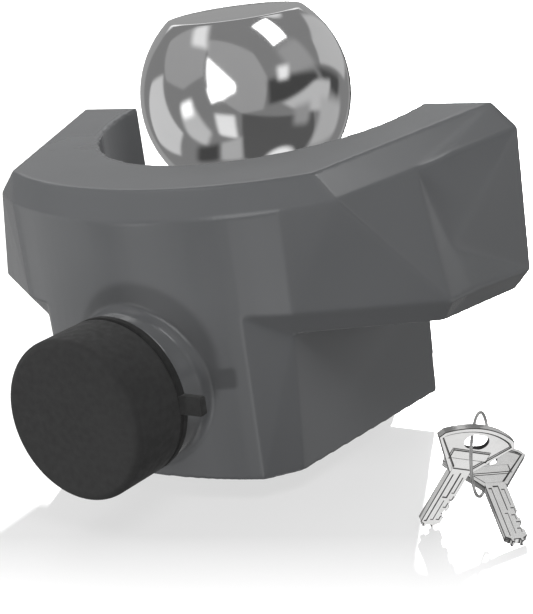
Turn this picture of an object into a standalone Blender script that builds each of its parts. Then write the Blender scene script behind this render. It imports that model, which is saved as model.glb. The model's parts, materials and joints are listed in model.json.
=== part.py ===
"""Trailer coupler lock: a crescent collar with a captive hitch ball, a bolt, a dust cap and keys."""
import math

import bmesh
import bpy
from mathutils import Matrix, Vector

MM = 0.001
GAP = 0.3
WELD = 0.0005

# Ball and its carrier, turned about the vertical axis through the origin.
BALL_R = 29.37
BALL_Z = 94.3
BALL_TOP_FLAT_R = 18.6
NECK_R = 14.0
PLUG_R = 29.6
PLUG_TOP_Z = 47.3
PLUG_GROOVE_R = 23.6
PLUG_GROOVE_HALF = 7.6
DISC_R = 32.0
DISC_T = 5.7
DISC_BEVEL = 3.5
STUD_R = 9.0
STUD_LOW_Z = 24.4
STUD_HIGH_Z = 98.9
BALL_NECK_DROP = 25.0
BALL_FLAT_ROUND = 0.6
SPIGOT_R = 14.7
SPIGOT_TOP_Z = 14.2
PLUG_RING_Z = 42.6
PLUG_RING_HALF = 1.5
PLUG_RING_FLOOR_R = 26.8

# Collar and lower block. y = 0 is the ball's axis and the front is at -Y.
REAR_Y = 11.3
FRONT_R = 95.0
FRONT_CENTRE_Y = 31.3
RIM_R = 98.0
RIM_CENTRE_Y = 39.5
TOP_Z = 87.56
TOP_RISE = 0.0965
TOP_CHAMFER_DROP = 6.5
WALL_FOOT_Z = 44.56
UNDER_Z = 38.66
ARM_FALL = 0.092
BLOCK_Z = DISC_T + GAP
THROAT_R = 49.7
THROAT_CENTRE_Y = 10.5
LIP_GROOVE_DEPTH = 5.0
LIP_GROOVE_H = 8.5
FLOOR_Z = 48.3
SOCKET_R = 30.0
CUT_PAST = 30.0

# Lock axis, along Y through the front boss.
AXIS_Z = 30.8
LOCK_PIVOT = (0.0, 0.0, AXIS_Z)
BOSS_R = 20.3
BOSS_Y = -69.9
BOSS_ROOT_Y = -55.0
BOSS_NECK_R = 18.5
BOSS_NECK_Y = -86.0
SHELL_BORE_R = 13.3
SHELL_BORE_Y = -50.0
CAM_BORE_R = 10.3
CAM_BORE_Y = -33.2
BOLT_BORE_R = 7.3
BOLT_BORE_Y = -20.0
PIN_SLOT_Y = (-50.5, -34.6)

# Lock cylinder: hardened front plate, shell, plug with its wafers, and the clip behind them.
PLATE_R = 12.4
PLATE_HOLE_R = 4.6
PLATE_FRONT_Y = -85.7
SHELL_R = 13.0
SHELL_FRONT_Y = -83.4
SHELL_REAR_Y = -52.0
SHELL_RING_Y = -78.2
SHELL_RING_HALF = 1.3
SHELL_RING_DEPTH = 2.3
LOCK_PLUG_R = 7.7
LOCK_PLUG_REAR_Y = -51.4
KEYWAY_W = 2.4
KEYWAY_H = 7.4
KEYWAY_END_Y = -56.0
WAFER_CODES = (0.0, 0.6, -0.4, 0.3, -0.6)
WAFER_PITCH = 4.2
WAFER_FIRST_Y = -78.5
WAFER_T = 1.0
WAFER_HALF_W = 2.5
WAFER_HALF_H = 6.8
WINDOW_HALF_W = 1.4
WINDOW_HALF_H = 3.5
TAIL_R = 5.5
TAIL_END_Y = -48.6
TANG = 6.0
TANG_END_Y = -46.4
CLIP_T = 0.8
CLIP_R = 8.8
CLIP_DEPTH = 0.9

# Cam sleeve, bolt and cross pin. A quarter turn of the plug moves the bolt by BOLT_TRAVEL.
CAM_R = 10.0
CAM_INNER_R = 7.6
CAM_FRONT_Y = -48.2
CAM_FLOOR_Y = -46.0
CAM_REAR_Y = -33.6
CAM_TURN = math.radians(90)
CAM_SLOT_MARGIN = math.radians(13)
BOLT_R = 7.0
BOLT_FRONT_Y = -45.7
BOLT_TIP_Y = -30.6
BOLT_TRAVEL = 5.5
PIN_R = 1.25
PIN_Y = -42.0
PIN_HALF = 11.5
SCREW_R = 3.0
SCREW_Y = -58.0
SCREW_BITE = 1.9
SCREW_HEX_R = 1.7

# Dust cap.
CAP_R = 21.4
CAP_FRONT_Y = -90.0
CAP_REAR_Y = -70.2
CAP_WALL_R = 18.8
CAP_FACE_T = 2.7
CAP_ROUND = 2.0
CAP_BEAD_Y = -73.2
CAP_BEAD_DEPTH = 0.7
TAB_REACH = 27.5
TAB_H = 5.0
TAB_T = 2.4

# Keys on a wire ring, standing on their tips on the floor beside the lock.
KEY_LENGTH = 31.3
KEY_HEAD_W = 21.0
KEY_HEAD_H = 14.0
KEY_CORNER_DROP = 4.2
KEY_CROWN_R = 19.0
KEY_BLADE_W = 5.4
KEY_TIP_HALF = 1.0
KEY_TIP_H = 1.6
KEY_T = 1.8
KEY_HOLE_R = 2.1
KEY_HOLE_HALF_W = 3.2
KEY_HOLE_DROP = 4.3
KEY_GROOVE_X = (-1.9, -0.5)
KEY_GROOVE_DEPTH = 0.5
KEY_1_TIP = Vector((79.6, -58.6, 0.80))
KEY_1_UP = Vector((0.549, 0.072, 0.833))
KEY_1_ACROSS = Vector((0.480, 0.788, -0.385))
KEY_2_TIP = Vector((105.21, -61.38, 0.99))
KEY_2_UP = Vector((-0.623, 0.660, 0.420))
KEY_2_ACROSS = Vector((0.676, 0.724, -0.137))
RING_CENTRE = Vector((91.63, -50.67, 17.13))
RING_NORMAL = Vector((0.9599, 0.2787, -0.0309))
RING_R = 9.91
RING_WIRE_R = 0.4


def clear_scene():
    for obj in list(bpy.data.objects):
        bpy.data.objects.remove(obj, do_unlink=True)


def material(name, colour, roughness, metallic):
    mat = bpy.data.materials.new(name)
    mat.use_nodes = True
    shader = mat.node_tree.nodes["Principled BSDF"]
    shader.inputs["Base Color"].default_value = (*colour, 1.0)
    shader.inputs["Roughness"].default_value = roughness
    shader.inputs["Metallic"].default_value = metallic
    return mat


def painted():
    return material("powder_coat", (0.13, 0.135, 0.14), 0.45, 0.0)


def chromed(name):
    return material(name, (0.85, 0.85, 0.86), 0.08, 1.0)


def steel(name):
    return material(name, (0.55, 0.56, 0.58), 0.35, 1.0)


def brass(name):
    return material(name, (0.80, 0.62, 0.30), 0.35, 1.0)


def rubber(name):
    return material(name, (0.035, 0.035, 0.035), 0.75, 0.0)


def new_object(name, bm, mat, smooth=True, pivot=(0.0, 0.0, 0.0)):
    """Turn a mesh drawn in millimetres into a named object in metres, with its origin at the pivot."""
    bmesh.ops.remove_doubles(bm, verts=bm.verts, dist=WELD)
    bmesh.ops.recalc_face_normals(bm, faces=bm.faces)
    bmesh.ops.translate(bm, vec=-Vector(pivot), verts=bm.verts)
    bmesh.ops.scale(bm, vec=(MM, MM, MM), verts=bm.verts)
    mesh = bpy.data.meshes.new(name)
    bm.to_mesh(mesh)
    bm.free()
    obj = bpy.data.objects.new(name, mesh)
    obj.location = Vector(pivot) * MM
    bpy.context.collection.objects.link(obj)
    if mat:
        mesh.materials.append(mat)
    if smooth:
        mesh.shade_smooth()
        mesh.set_sharp_from_angle(angle=math.radians(30))
    return obj


def turned_mesh(profile, segments, closed=False):
    """Spin a profile of (radius, height) points about Z. A closed profile makes a ring."""
    bm = bmesh.new()
    verts = [bm.verts.new((r, 0.0, h)) for r, h in profile]
    edges = [bm.edges.new(pair) for pair in zip(verts, verts[1:])]
    if closed:
        edges.append(bm.edges.new((verts[-1], verts[0])))
    bmesh.ops.spin(
        bm,
        geom=verts + edges,
        cent=(0, 0, 0),
        axis=(0, 0, 1),
        angle=math.tau,
        steps=segments,
        use_merge=True,
    )
    bmesh.ops.remove_doubles(bm, verts=bm.verts, dist=WELD)
    return bm


def along_y(bm, x=0.0, z=AXIS_Z):
    """Lay a turned mesh down so that its height runs along +Y, on the axis at (x, z)."""
    turn = Matrix.Rotation(math.radians(-90), 4, "X")
    bmesh.ops.transform(bm, matrix=Matrix.Translation((x, 0, z)) @ turn, verts=bm.verts)
    return bm


def rod_profile(radius, low, high, chamfer=0.0):
    if chamfer == 0.0:
        return [(0, low), (radius, low), (radius, high), (0, high)]
    return [
        (0, low),
        (radius - chamfer, low),
        (radius, low + chamfer),
        (radius, high - chamfer),
        (radius - chamfer, high),
        (0, high),
    ]


def box_mesh(low, high):
    bm = bmesh.new()
    bmesh.ops.create_cube(bm, size=1.0)
    size = [b - a for a, b in zip(low, high)]
    middle = [(a + b) / 2 for a, b in zip(low, high)]
    bmesh.ops.scale(bm, vec=size, verts=bm.verts)
    bmesh.ops.translate(bm, vec=middle, verts=bm.verts)
    return bm


def prism_mesh(outline, low, high):
    """Extrude a closed outline of (x, y) points from z = low to z = high."""
    bm = bmesh.new()
    face = bm.faces.new([bm.verts.new((x, y, low)) for x, y in outline])
    result = bmesh.ops.extrude_face_region(bm, geom=[face])
    top = [item for item in result["geom"] if isinstance(item, bmesh.types.BMVert)]
    bmesh.ops.translate(bm, vec=(0, 0, high - low), verts=top)
    return bm


def cutter(name, bm):
    obj = new_object(name, bm, None, smooth=False)
    obj.hide_render = True
    obj.display_type = "WIRE"
    return obj


def boolean(target, tool, operation="DIFFERENCE"):
    mod = target.modifiers.new(tool.name, "BOOLEAN")
    mod.object = tool
    mod.operation = operation
    mod.solver = "EXACT"


def arc_points(radius, centre_x, centre_y, start, end, count):
    step = (end - start) / count
    angles = [start + step * i for i in range(count + 1)]
    return [(centre_x + radius * math.cos(a), centre_y + radius * math.sin(a)) for a in angles]


# --- Collar and block -------------------------------------------------------------------------------------

BLOCK_EDGE_ANGLE = math.radians(20.0)
CYLINDER_END_ANGLE = math.radians(27.8)
RIM_END_ANGLE = math.radians(30.8)
ARC_STEPS = 8
ARC_STEPS_OUTER = 3


def top_z(y):
    return TOP_Z + TOP_RISE * y


def foot_z(y):
    return top_z(y) - TOP_CHAMFER_DROP


def wall_z(y):
    return WALL_FOOT_Z - ARM_FALL * y


def under_z(y):
    return UNDER_Z - ARM_FALL * y


def front_point(angle):
    return FRONT_R * math.sin(angle), FRONT_CENTRE_Y - FRONT_R * math.cos(angle)


def rim_point(angle):
    return RIM_R * math.sin(angle), RIM_CENTRE_Y - RIM_R * math.cos(angle)


def lifted(point, height):
    return Vector((point[0], point[1], height(point[1])))


def front_angles():
    inner = [BLOCK_EDGE_ANGLE * i / ARC_STEPS for i in range(ARC_STEPS + 1)]
    span = CYLINDER_END_ANGLE - BLOCK_EDGE_ANGLE
    outer = [BLOCK_EDGE_ANGLE + span * (i + 1) / ARC_STEPS_OUTER for i in range(ARC_STEPS_OUTER)]
    return inner + outer


def half_faces():
    """Faces of the blank's right half, before the throat and the bores are cut."""
    angles = front_angles()
    last = len(angles) - 1
    rim = [lifted(rim_point(RIM_END_ANGLE * i / last), top_z) for i in range(last + 1)]
    foot = [lifted(front_point(a), foot_z) for a in angles]
    wall = [lifted(front_point(a), wall_z) for a in angles]
    base = [Vector((*front_point(a), BLOCK_Z)) for a in angles[: ARC_STEPS + 1]]
    rim_rear = lifted((70.5, REAR_Y), top_z)
    rim_mid = lifted((0.0, REAR_Y), top_z)

    # The arm's side: a flat next to the cylinder, then a hollow facet group, then the flared rear.
    brow = Vector((56.1, -44.6, foot_z(-44.6)))
    brow_2 = Vector((65.1, -21.1, foot_z(-21.1) - 0.3))
    brow_3 = Vector((68.4, -13.6, 79.8))
    brow_rear = lifted((77.5, REAR_Y), foot_z)
    hollow = Vector((71.3, -17.5, 57.7))
    knee = lifted((75.9, -29.2), wall_z)
    knee_2 = lifted((75.3, -17.5), wall_z)
    wall_rear = lifted((77.3, REAR_Y), wall_z)

    # The underside's edge, and the block below it.
    under = lifted((41.5, -49.5), under_z)
    under_2 = lifted((71.4, -26.6), under_z)
    under_rear = lifted((72.0, REAR_Y), under_z)
    side_top = lifted((45.1, REAR_Y), under_z)
    side_front = Vector((38.9, -49.7, BLOCK_Z))
    side_rear = Vector((44.2, REAR_Y, BLOCK_Z))
    base_mid = Vector((0.0, REAR_Y, BLOCK_Z))

    faces = [[*rim, rim_rear, rim_mid]]
    for i in range(last):
        faces.append([rim[i], rim[i + 1], foot[i + 1], foot[i]])
    for i in range(ARC_STEPS - 1):
        faces.append([foot[i], foot[i + 1], base[i + 1], base[i]])
    corner = wall[ARC_STEPS]
    faces.append([foot[ARC_STEPS - 1], foot[ARC_STEPS], corner, base[ARC_STEPS], base[ARC_STEPS - 1]])
    for i in range(ARC_STEPS, last):
        faces.append([foot[i], foot[i + 1], wall[i + 1], wall[i]])
        faces.append([wall[i], wall[i + 1], under])
    faces += [
        [rim[last], brow, foot[last]],
        [rim[last], rim_rear, brow_2, brow],
        [rim_rear, brow_rear, brow_3, brow_2],
        [foot[last], brow, knee, wall[last]],
        [brow, brow_2, knee],
        [brow_2, hollow, knee],
        [brow_2, brow_3, hollow],
        [knee, hollow, knee_2],
        [brow_3, brow_rear, hollow],
        [hollow, brow_rear, wall_rear],
        [hollow, wall_rear, knee_2],
        [wall[last], knee, under_2, under],
        [knee, knee_2, under_2],
        [knee_2, wall_rear, under_rear, under_2],
        [under, under_2, under_rear, side_top],
        [corner, under, side_front, base[ARC_STEPS]],
        [under, side_top, side_rear, side_front],
        [*base, side_front, side_rear, base_mid],
        [rim_mid, rim_rear, brow_rear, wall_rear, under_rear, side_top, side_rear, base_mid],
    ]
    return faces


def blank_mesh():
    bm = bmesh.new()
    for side in (1, -1):
        for face in half_faces():
            bm.faces.new([bm.verts.new((side * p.x, p.y, p.z)) for p in face])
    bmesh.ops.remove_doubles(bm, verts=bm.verts, dist=WELD)
    bmesh.ops.triangulate(bm, faces=bm.faces)
    bmesh.ops.recalc_face_normals(bm, faces=bm.faces)
    return bm


def throat_outline(radius):
    front = arc_points(radius, 0.0, THROAT_CENTRE_Y, math.pi, math.tau, 48)
    rear = REAR_Y + CUT_PAST
    return [*front, (radius, rear), (-radius, rear)]


def boss_mesh():
    edge = 0.6
    profile = [
        (0, BOSS_ROOT_Y),
        (BOSS_R, BOSS_ROOT_Y),
        (BOSS_R, BOSS_Y),
        (BOSS_NECK_R, BOSS_Y),
        (BOSS_NECK_R, BOSS_NECK_Y + edge),
        (BOSS_NECK_R - edge, BOSS_NECK_Y),
        (0, BOSS_NECK_Y),
    ]
    return along_y(turned_mesh(profile, 64))


def lock_bore_mesh():
    front = BOSS_NECK_Y - CUT_PAST
    profile = [
        (0, front),
        (SHELL_BORE_R, front),
        (SHELL_BORE_R, SHELL_BORE_Y),
        (CAM_BORE_R, SHELL_BORE_Y),
        (CAM_BORE_R, CAM_BORE_Y),
        (BOLT_BORE_R, CAM_BORE_Y),
        (BOLT_BORE_R, BOLT_BORE_Y),
        (0, BOLT_BORE_Y),
    ]
    return along_y(turned_mesh(profile, 48))


def lock_body():
    """Crescent collar and block, with the boss on its front, the throat, the socket and the lock's bores."""
    body = new_object("lock_body", blank_mesh(), painted())
    boolean(body, cutter("boss_blank", boss_mesh()), "UNION")
    lip = prism_mesh(throat_outline(THROAT_R + LIP_GROOVE_DEPTH), FLOOR_Z, FLOOR_Z + LIP_GROOVE_H)
    boolean(body, cutter("lip_groove_cut", lip))
    throat = prism_mesh(throat_outline(THROAT_R), FLOOR_Z + LIP_GROOVE_H / 2, TOP_Z + CUT_PAST)
    boolean(body, cutter("throat_cut", throat))
    socket = turned_mesh(rod_profile(SOCKET_R, 0.0, FLOOR_Z + LIP_GROOVE_H / 2), 72)
    boolean(body, cutter("socket_cut", socket))
    boolean(body, cutter("lock_bore_cut", lock_bore_mesh()))
    slot = box_mesh(
        (-PIN_HALF - GAP, PIN_SLOT_Y[0], AXIS_Z - PIN_R - GAP),
        (PIN_HALF + GAP, PIN_SLOT_Y[1], AXIS_Z + PIN_R + GAP),
    )
    boolean(body, cutter("pin_slot_cut", slot))
    screw_hole = turned_mesh(rod_profile(SCREW_R + GAP, 0.0, AXIS_Z - CAM_R), 24)
    bmesh.ops.translate(screw_hole, vec=(0, SCREW_Y, 0), verts=screw_hole.verts)
    boolean(body, cutter("screw_hole_cut", screw_hole))
    return body


# --- Ball and its carrier ---------------------------------------------------------------------------------


def hitch_ball():
    top = math.acos(BALL_TOP_FLAT_R / BALL_R)
    bottom = -math.asin(BALL_NECK_DROP / BALL_R)
    bore_top = STUD_HIGH_Z + GAP - BALL_Z
    profile = [(0, BALL_R * math.sin(top))]
    profile.append((BALL_TOP_FLAT_R - BALL_FLAT_ROUND, BALL_R * math.sin(top)))
    start = top - BALL_FLAT_ROUND / BALL_R
    steps = 26
    for i in range(steps + 1):
        angle = start + (bottom - start) * i / steps
        profile.append((BALL_R * math.cos(angle), BALL_R * math.sin(angle)))
    profile += [(STUD_R + GAP, -BALL_NECK_DROP), (STUD_R + GAP, bore_top), (0, bore_top)]
    bm = turned_mesh([(r, h + BALL_Z) for r, h in profile], 64)
    return new_object("hitch_ball", bm, chromed("ball_chrome"))


def base_plug():
    """Cylinder that fills the block's socket, with a spigot up to the ball and a groove for the bolt."""
    joint = BALL_Z - BALL_NECK_DROP - GAP
    neck_foot = 3.0
    shoulder = 1.0
    groove_low = AXIS_Z - PLUG_GROOVE_HALF
    groove_high = AXIS_Z + PLUG_GROOVE_HALF
    ring_low = PLUG_RING_Z - PLUG_RING_HALF
    ring_high = PLUG_RING_Z + PLUG_RING_HALF
    profile = [
        (0, STUD_LOW_Z - GAP),
        (STUD_R + GAP, STUD_LOW_Z - GAP),
        (STUD_R + GAP, joint),
        (NECK_R, joint),
        (NECK_R, PLUG_TOP_Z + neck_foot),
        (NECK_R + neck_foot, PLUG_TOP_Z),
        (PLUG_R - shoulder, PLUG_TOP_Z),
        (PLUG_R, PLUG_TOP_Z - shoulder),
        (PLUG_R, ring_high),
        (PLUG_RING_FLOOR_R, ring_high),
        (PLUG_RING_FLOOR_R, ring_low),
        (PLUG_R, ring_low),
        (PLUG_R, groove_high),
        (PLUG_GROOVE_R, groove_high),
        (PLUG_GROOVE_R, groove_low),
        (PLUG_R, groove_low),
        (PLUG_R, DISC_T + GAP),
        (SPIGOT_R + GAP, DISC_T + GAP),
        (SPIGOT_R + GAP, SPIGOT_TOP_Z + GAP),
        (0, SPIGOT_TOP_Z + GAP),
    ]
    return new_object("base_plug", turned_mesh(profile, 64), chromed("plug_chrome"))


def base_disc():
    top_edge = 0.4
    profile = [
        (0, 0),
        (DISC_R - DISC_BEVEL, 0),
        (DISC_R, DISC_BEVEL),
        (DISC_R, DISC_T - top_edge),
        (DISC_R - top_edge, DISC_T),
        (SPIGOT_R, DISC_T),
        (SPIGOT_R, SPIGOT_TOP_Z),
        (0, SPIGOT_TOP_Z),
    ]
    return new_object("base_disc", turned_mesh(profile, 64), chromed("disc_chrome"))


def ball_stud():
    bm = turned_mesh(rod_profile(STUD_R, STUD_LOW_Z, STUD_HIGH_Z, 1.0), 40)
    return new_object("ball_stud", bm, steel("stud_steel"))


def circle_profile(centre_r, wire_r, height):
    points = []
    for i in range(8):
        angle = math.tau * i / 8
        points.append((centre_r + wire_r * math.cos(angle), height + wire_r * math.sin(angle)))
    return points


def plug_o_ring():
    bm = turned_mesh(circle_profile(28.3, 1.2, PLUG_RING_Z), 40, closed=True)
    return new_object("plug_o_ring", bm, rubber("plug_ring_rubber"))


def shell_o_ring():
    bm = along_y(turned_mesh(circle_profile(12.0, 0.9, SHELL_RING_Y), 40, closed=True))
    return new_object("shell_o_ring", bm, rubber("shell_ring_rubber"))


# --- Lock cylinder and bolt -------------------------------------------------------------------------------


def drill_plate():
    edge = 0.6
    rear = SHELL_FRONT_Y - GAP
    profile = [
        (PLATE_HOLE_R, PLATE_FRONT_Y),
        (PLATE_R, PLATE_FRONT_Y),
        (PLATE_R + edge, PLATE_FRONT_Y + edge),
        (PLATE_R + edge, rear),
        (PLATE_HOLE_R, rear),
    ]
    bm = along_y(turned_mesh(profile, 48, closed=True))
    return new_object("drill_plate", bm, steel("plate_steel"))


def lock_shell():
    inner = LOCK_PLUG_R + GAP
    profile = [
        (inner, SHELL_FRONT_Y),
        (SHELL_R, SHELL_FRONT_Y),
        (SHELL_R, SHELL_RING_Y - SHELL_RING_HALF),
        (SHELL_R - SHELL_RING_DEPTH, SHELL_RING_Y - SHELL_RING_HALF),
        (SHELL_R - SHELL_RING_DEPTH, SHELL_RING_Y + SHELL_RING_HALF),
        (SHELL_R, SHELL_RING_Y + SHELL_RING_HALF),
        (SHELL_R, SHELL_REAR_Y),
        (inner, SHELL_REAR_Y),
    ]
    shell = new_object("lock_shell", along_y(turned_mesh(profile, 48, closed=True)), brass("shell_brass"))
    dimple_top = AXIS_Z - SHELL_R + SCREW_BITE + GAP
    dimple = turned_mesh(rod_profile(SCREW_R + GAP, BLOCK_Z, dimple_top), 24)
    bmesh.ops.translate(dimple, vec=(0, SCREW_Y, 0), verts=dimple.verts)
    boolean(shell, cutter("dimple_cut", dimple))
    return shell


def clip_groove():
    """Front and rear of the groove for the clip, just behind the plug's shoulder."""
    return LOCK_PLUG_REAR_Y + 2 * GAP, LOCK_PLUG_REAR_Y + 2 * GAP + CLIP_T + 0.4


def lock_plug():
    """Barrel with a keyway and wafer slots, a tail grooved for the clip, and a square tang for the cam."""
    front, rear = clip_groove()
    profile = [
        (0, SHELL_FRONT_Y + GAP),
        (LOCK_PLUG_R, SHELL_FRONT_Y + GAP),
        (LOCK_PLUG_R, LOCK_PLUG_REAR_Y),
        (TAIL_R, LOCK_PLUG_REAR_Y),
        (TAIL_R, front),
        (TAIL_R - CLIP_DEPTH, front),
        (TAIL_R - CLIP_DEPTH, rear),
        (TAIL_R, rear),
        (TAIL_R, TAIL_END_Y),
        (0, TAIL_END_Y),
    ]
    bm = along_y(turned_mesh(profile, 48))
    plug = new_object("lock_plug", bm, brass("plug_brass"), pivot=LOCK_PIVOT)
    half = TANG / 2
    tang = box_mesh((-half, TAIL_END_Y - 1.0, AXIS_Z - half), (half, TANG_END_Y, AXIS_Z + half))
    boolean(plug, cutter("tang_blank", tang), "UNION")
    keyway = box_mesh(
        (-KEYWAY_W / 2, SHELL_FRONT_Y - CUT_PAST, AXIS_Z - KEYWAY_H / 2),
        (KEYWAY_W / 2, KEYWAY_END_Y, AXIS_Z + KEYWAY_H / 2),
    )
    boolean(plug, cutter("keyway_cut", keyway))
    half_w = WAFER_HALF_W + GAP
    half_t = WAFER_T / 2 + GAP
    for number in range(1, len(WAFER_CODES) + 1):
        y = wafer_y(number)
        low = (-half_w, y - half_t, AXIS_Z - 2 * LOCK_PLUG_R)
        high = (half_w, y + half_t, AXIS_Z + 2 * LOCK_PLUG_R)
        boolean(plug, cutter(f"wafer_slot_{number}_cut", box_mesh(low, high)))
    return plug


def wafer_y(number):
    return WAFER_FIRST_Y + (number - 1) * WAFER_PITCH


def wafer(number):
    """A flat wafer with a window for the key. Each window sits at its own height, as the key is coded."""
    middle = AXIS_Z + WAFER_CODES[number - 1]
    y = wafer_y(number)
    low = (-WAFER_HALF_W, y - WAFER_T / 2, AXIS_Z - WAFER_HALF_H)
    high = (WAFER_HALF_W, y + WAFER_T / 2, AXIS_Z + WAFER_HALF_H)
    mat = brass(f"wafer_{number}_brass")
    plate = new_object(f"wafer_{number}", box_mesh(low, high), mat, smooth=False, pivot=LOCK_PIVOT)
    window = box_mesh(
        (-WINDOW_HALF_W, y - 2 * WAFER_T, middle - WINDOW_HALF_H),
        (WINDOW_HALF_W, y + 2 * WAFER_T, middle + WINDOW_HALF_H),
    )
    boolean(plate, cutter(f"wafer_{number}_window_cut", window))
    return plate


def plug_circlip():
    """A C-shaped clip in the plug's tail groove, behind the shell."""
    low = clip_groove()[0] + 0.2
    ends = (math.radians(-250), math.radians(70))
    outer = arc_points(CLIP_R, 0, 0, ends[0], ends[1], 40)
    inner = arc_points(TAIL_R - CLIP_DEPTH + GAP, 0, 0, ends[1], ends[0], 40)
    bm = along_y(prism_mesh([*outer, *inner], low, low + CLIP_T))
    return new_object("plug_circlip", bm, steel("clip_steel"), pivot=LOCK_PIVOT)


def helical_slot(start_angle):
    """A bar that follows the pin's path round the cam while the bolt travels, with running clearance."""
    slope = BOLT_TRAVEL / CAM_TURN
    half_y = PIN_R + 2 * GAP
    inner = CAM_INNER_R - 2.0
    outer = CAM_R + 2.0
    steps = 18
    bm = bmesh.new()
    rings = []
    for i in range(steps + 1):
        turn = -CAM_SLOT_MARGIN + (CAM_TURN + 2 * CAM_SLOT_MARGIN) * i / steps
        y = PIN_Y + slope * turn
        angle = start_angle + turn
        ring = []
        for r, dy in ((inner, -half_y), (outer, -half_y), (outer, half_y), (inner, half_y)):
            ring.append(bm.verts.new((r * math.cos(angle), y + dy, AXIS_Z + r * math.sin(angle))))
        rings.append(ring)
    for a, b in zip(rings, rings[1:]):
        for j in range(4):
            k = (j + 1) % 4
            bm.faces.new((a[j], a[k], b[k], b[j]))
    bm.faces.new(rings[0])
    bm.faces.new(list(reversed(rings[-1])))
    bmesh.ops.triangulate(bm, faces=bm.faces)
    return bm


def bolt_cam():
    """A sleeve turned by the plug's square tang. Two helical slots push the bolt's cross pin along."""
    profile = [
        (0, CAM_FRONT_Y),
        (CAM_R, CAM_FRONT_Y),
        (CAM_R, CAM_REAR_Y),
        (CAM_INNER_R, CAM_REAR_Y),
        (CAM_INNER_R, CAM_FLOOR_Y),
        (0, CAM_FLOOR_Y),
    ]
    cam = new_object("bolt_cam", along_y(turned_mesh(profile, 48)), steel("cam_steel"), pivot=LOCK_PIVOT)
    half = TANG / 2 + GAP
    square = box_mesh(
        (-half, CAM_FRONT_Y - 2.0, AXIS_Z - half),
        (half, CAM_FLOOR_Y + 2.0, AXIS_Z + half),
    )
    boolean(cam, cutter("cam_square_cut", square))
    for side in (0, 1):
        boolean(cam, cutter(f"cam_slot_{side + 1}_cut", helical_slot(math.pi * side)))
    return cam


def across_pin_mesh(profile):
    """A turned mesh laid along X through the cross pin's place."""
    bm = turned_mesh(profile, 20)
    turn = Matrix.Translation((0, PIN_Y, AXIS_Z)) @ Matrix.Rotation(math.radians(90), 4, "Y")
    bmesh.ops.transform(bm, matrix=turn, verts=bm.verts)
    return bm


def locking_bolt():
    bm = along_y(turned_mesh(rod_profile(BOLT_R, BOLT_FRONT_Y, BOLT_TIP_Y, 0.8), 40))
    bolt = new_object("locking_bolt", bm, steel("bolt_steel"), pivot=LOCK_PIVOT)
    hole = across_pin_mesh(rod_profile(PIN_R + GAP, -2 * BOLT_R, 2 * BOLT_R))
    boolean(bolt, cutter("pin_hole_cut", hole))
    return bolt


def cam_pin():
    bm = across_pin_mesh(rod_profile(PIN_R, -PIN_HALF, PIN_HALF, GAP))
    return new_object("cam_pin", bm, steel("pin_steel"), pivot=LOCK_PIVOT)


def shell_set_screw():
    """A hex socket screw from below that bites into the shell, reached once the block is off the ball."""
    low = BLOCK_Z + 1.0
    bm = turned_mesh(rod_profile(SCREW_R, low, AXIS_Z - SHELL_R + SCREW_BITE, 0.5), 24)
    bmesh.ops.translate(bm, vec=(0, SCREW_Y, 0), verts=bm.verts)
    screw = new_object("shell_set_screw", bm, steel("screw_steel"))
    hexagon = arc_points(SCREW_HEX_R, 0, SCREW_Y, 0, math.tau * 5 / 6, 5)
    boolean(screw, cutter("screw_socket_cut", prism_mesh(hexagon, low - 2.0, low + 2.5)))
    return screw


# --- Dust cap ---------------------------------------------------------------------------------------------


def dust_cap():
    """Rubber cap over the boss's neck: rounded face edge, a shallow bead groove and a pull tab."""
    edge = []
    for i in range(5):
        angle = math.radians(90) * i / 4
        r = CAP_R - CAP_ROUND * (1 - math.sin(angle))
        y = CAP_FRONT_Y + CAP_ROUND * (1 - math.cos(angle))
        edge.append((r, y))
    profile = [
        (0, CAP_FRONT_Y),
        *edge,
        (CAP_R, CAP_BEAD_Y),
        (CAP_R - CAP_BEAD_DEPTH, CAP_BEAD_Y + 0.2),
        (CAP_R - CAP_BEAD_DEPTH, CAP_BEAD_Y + 0.6),
        (CAP_R, CAP_BEAD_Y + 0.8),
        (CAP_R, CAP_REAR_Y),
        (CAP_WALL_R, CAP_REAR_Y),
        (CAP_WALL_R, CAP_FRONT_Y + CAP_FACE_T),
        (0, CAP_FRONT_Y + CAP_FACE_T),
    ]
    bm = along_y(turned_mesh(profile, 64))
    cap = new_object("dust_cap", bm, rubber("cap_rubber"), pivot=LOCK_PIVOT)
    tab = box_mesh(
        (CAP_R - 1.5, CAP_REAR_Y - TAB_T, AXIS_Z - TAB_H / 2),
        (TAB_REACH, CAP_REAR_Y - 0.1, AXIS_Z + TAB_H / 2),
    )
    boolean(cap, cutter("tab_blank", tab), "UNION")
    return cap


# --- Keys and ring ----------------------------------------------------------------------------------------


def key_outline():
    """Half-fan head tapering to a straight blade. The tip is at the origin and the head is up +Y."""
    half_head = KEY_HEAD_W / 2
    half_blade = KEY_BLADE_W / 2
    shoulder = KEY_LENGTH - KEY_HEAD_H
    corner = KEY_LENGTH - KEY_CORNER_DROP
    sweep = math.asin((half_head - 0.9) / KEY_CROWN_R)
    middle = math.radians(90)
    crown = arc_points(KEY_CROWN_R, 0, KEY_LENGTH - KEY_CROWN_R, middle + sweep, middle - sweep, 12)
    return [
        (-KEY_TIP_HALF, 0.0),
        (-half_blade, KEY_TIP_H),
        (-half_blade, shoulder),
        (-half_head, corner),
        *crown,
        (half_head, corner),
        (half_blade, shoulder),
        (half_blade, KEY_TIP_H),
        (KEY_TIP_HALF, 0.0),
    ]


def key_frame(tip, up, across):
    """A key's own axes: across its width, up from tip to head, and out of its face."""
    up = up.normalized()
    across = (across - up * across.dot(up)).normalized()
    frame = Matrix((across, up, across.cross(up))).transposed().to_4x4()
    frame.translation = tip
    return frame


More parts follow.
